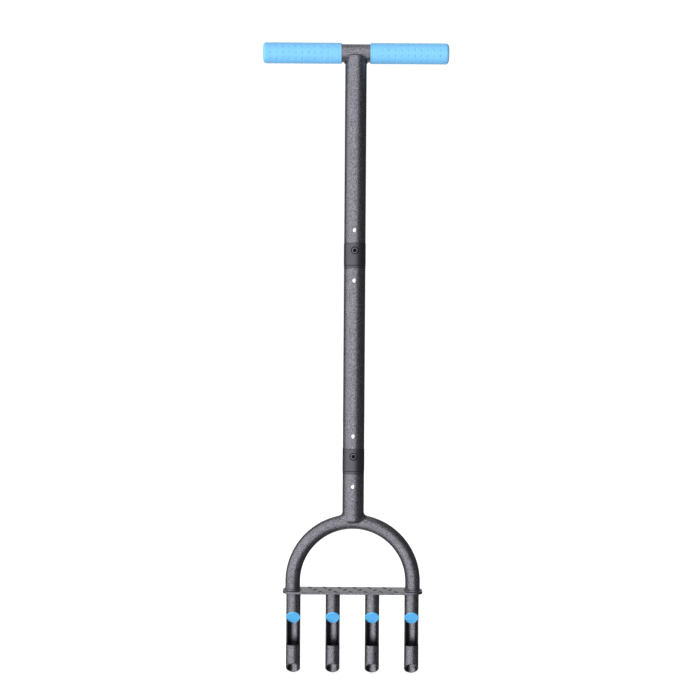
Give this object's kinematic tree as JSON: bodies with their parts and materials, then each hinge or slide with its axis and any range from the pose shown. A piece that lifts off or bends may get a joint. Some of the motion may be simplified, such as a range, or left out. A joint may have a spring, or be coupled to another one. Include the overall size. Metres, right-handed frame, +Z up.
{
  "type": "hand lawn core aerator",
  "caption": "Foot-driven lawn core aerator: T handle with rubber grips on a sectional steel shaft, arch and tread plate over hollow coring tines with slanted plugs.",
  "frame": {"origin": "on the shaft's axis, level with the lowest points of the tines", "axes": "+Z up the shaft; X along the handle and the row of tines; the windows of the tines and the lock screws face -Y"},
  "size_m": [0.2758, 0.042, 0.9392],
  "materials": {
    "hammertone_paint": "hammertone",
    "black_nylon": "satin moulded",
    "blue_rubber": "matte dimpled",
    "blue_plastic": "satin moulded",
    "black_steel": "black oxide",
    "zinc_steel": "zinc plated",
    "rivet_alloy": "bright aluminium"
  },
  "bodies": {
    "fork_section": {"arch_tube": "hammertone_paint", "lower_tube": "hammertone_paint", "shoulder_weld": "hammertone_paint", "foot_plate": "hammertone_paint", "leg_welds": "hammertone_paint", "tine_welds": "hammertone_paint", "tine_1": "hammertone_paint", "tine_2": "hammertone_paint", "tine_3": "hammertone_paint", "tine_4": "hammertone_paint", "core_plug_1": "blue_plastic", "core_plug_2": "blue_plastic", "core_plug_3": "blue_plastic", "core_plug_4": "blue_plastic", "lower_stem": "black_nylon", "lower_stem_rivet": "rivet_alloy"},
    "middle_section": {"middle_tube": "hammertone_paint", "upper_stem": "black_nylon", "upper_stem_rivet": "rivet_alloy", "lower_socket": "black_nylon", "lower_socket_rivet": "rivet_alloy", "lower_nut": "zinc_steel"},
    "handle_section": {"upper_tube": "hammertone_paint", "crossbar_tube": "hammertone_paint", "handle_weld": "hammertone_paint", "left_grip": "blue_rubber", "right_grip": "blue_rubber", "upper_socket": "black_nylon", "upper_socket_rivet": "rivet_alloy", "upper_nut": "zinc_steel"},
    "lower_screw": {"lower_screw": "black_steel"},
    "upper_screw": {"upper_screw": "black_steel"}
  },
  "joints": [
    {"name": "lower_joint", "type": "slide", "parent": "fork_section", "child": "middle_section", "axis": [0, 0, 1], "range_m": [0, 0.04]},
    {"name": "upper_joint", "type": "slide", "parent": "middle_section", "child": "handle_section", "axis": [0, 0, 1], "range_m": [0, 0.04]},
    {"name": "lower_screw_out", "type": "slide", "parent": "middle_section", "child": "lower_screw", "axis": [0, -1, 0], "range_m": [0, 0.004]},
    {"name": "upper_screw_out", "type": "slide", "parent": "handle_section", "child": "upper_screw", "axis": [0, -1, 0], "range_m": [0, 0.004]}
  ]
}
